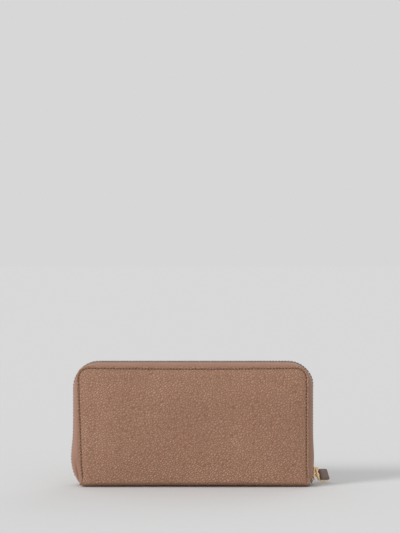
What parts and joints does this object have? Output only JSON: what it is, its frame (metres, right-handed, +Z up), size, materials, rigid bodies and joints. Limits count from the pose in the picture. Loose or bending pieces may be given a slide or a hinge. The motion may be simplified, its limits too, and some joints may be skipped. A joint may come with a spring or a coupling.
{
  "type": "zip around wallet",
  "caption": "Long zip around wallet in warm taupe grained leather, standing on its spine, with a gold slider, ring and leather-faced pull, card slots and a zipped coin pocket.",
  "frame": {"origin": "middle of the spine's flat underside, on the surface that the closed wallet stands on", "axes": "+X along the spine towards the zip slider's end, +Y from the front cover to the back cover, +Z up from the spine to the zip along the top"},
  "size_m": [0.2075, 0.0305, 0.0977],
  "materials": {
    "outer_leather": "fine pebble grain, satin",
    "band_leather": "smooth, satin",
    "board": "matt, hidden between leather and lining",
    "lining": "fine ribbed lining cloth, matt",
    "zip_tape": "woven tape, matt",
    "zip_teeth": "moulded, dull satin",
    "gold_metal": "polished pale gold plating",
    "pull_leather": "smooth, satin"
  },
  "bodies": {
    "spine": {"spine_leather": "outer_leather", "spine_board": "board", "spine_lining": "lining", "zip_end_tab_left": "zip_tape", "zip_end_tab_right": "zip_tape", "zip_bottom_stop": "gold_metal", "coin_wall_front": "lining", "coin_wall_back": "lining", "coin_side_left": "lining", "coin_side_right": "lining", "coin_bottom": "lining", "coin_tape_front": "zip_tape", "coin_tape_back": "zip_tape", "coin_teeth_front": "gold_metal", "coin_teeth_back": "gold_metal", "coin_stop_left": "gold_metal", "coin_stop_right": "gold_metal", "gusset_front_left": "lining", "gusset_front_right": "lining", "gusset_back_left": "lining", "gusset_back_right": "lining"},
    "front_cover": {"front_leather": "outer_leather", "front_board": "board", "front_lining": "lining", "front_slip_panel": "lining", "front_card_strip_1": "outer_leather", "front_card_strip_2": "outer_leather", "front_card_strip_3": "outer_leather", "front_card_strip_4": "outer_leather", "front_edge_band": "band_leather", "front_zip_tape": "zip_tape", "front_zip_teeth": "zip_teeth", "front_top_stop": "gold_metal"},
    "back_cover": {"back_leather": "outer_leather", "back_board": "board", "back_lining": "lining", "back_slip_panel": "lining", "back_card_strip_1": "outer_leather", "back_card_strip_2": "outer_leather", "back_card_strip_3": "outer_leather", "back_card_strip_4": "outer_leather", "back_edge_band": "band_leather", "back_zip_tape": "zip_tape", "back_zip_teeth": "zip_teeth", "back_top_stop": "gold_metal"},
    "zip_slider": {"slider_body": "gold_metal", "slider_bridge": "gold_metal"},
    "pull_ring": {"pull_ring": "gold_metal"},
    "pull_tab": {"pull_plate": "gold_metal", "pull_leather": "pull_leather"},
    "coin_slider": {"coin_slider_body": "gold_metal", "coin_slider_bridge": "gold_metal"},
    "coin_pull": {"coin_pull": "gold_metal"}
  },
  "joints": [
    {"name": "front_cover_open", "type": "hinge", "parent": "spine", "child": "front_cover", "pos_m": [0, -0.0119, 0.005], "axis": [1, 0, 0], "range_deg": [0, 35], "deforming": ["gusset_front_left", "gusset_front_right"]},
    {"name": "back_cover_open", "type": "hinge", "parent": "spine", "child": "back_cover", "pos_m": [0, 0.0119, 0.005], "axis": [-1, 0, 0], "range_deg": [0, 35], "deforming": ["gusset_back_left", "gusset_back_right"]},
    {"name": "zip_slider_travel", "type": "slide", "parent": "spine", "child": "zip_slider", "axis": [0, 0, 1], "range_m": [0, 0.06]},
    {"name": "pull_ring_swing", "type": "hinge", "parent": "zip_slider", "child": "pull_ring", "pos_m": [0.09845, 0, 0.01275], "axis": [0, -1, 0], "range_deg": [0, 75]},
    {"name": "pull_tab_swing", "type": "hinge", "parent": "pull_ring", "child": "pull_tab", "pos_m": [0.09993, 0.0039, 0.00759], "axis": [0.2621, -0.309, -0.9142], "range_deg": [0, 80]},
    {"name": "coin_slider_travel", "type": "slide", "parent": "spine", "child": "coin_slider", "axis": [-1, 0, 0], "range_m": [0, 0.156]},
    {"name": "coin_pull_swing", "type": "hinge", "parent": "coin_slider", "child": "coin_pull", "pos_m": [0.078, 0, 0.0719], "axis": [0, 1, 0], "range_deg": [0, 120]}
  ],
  "couplings": [
    {"joint": "back_cover_open", "follows": "front_cover_open", "ratio": 1}
  ]
}
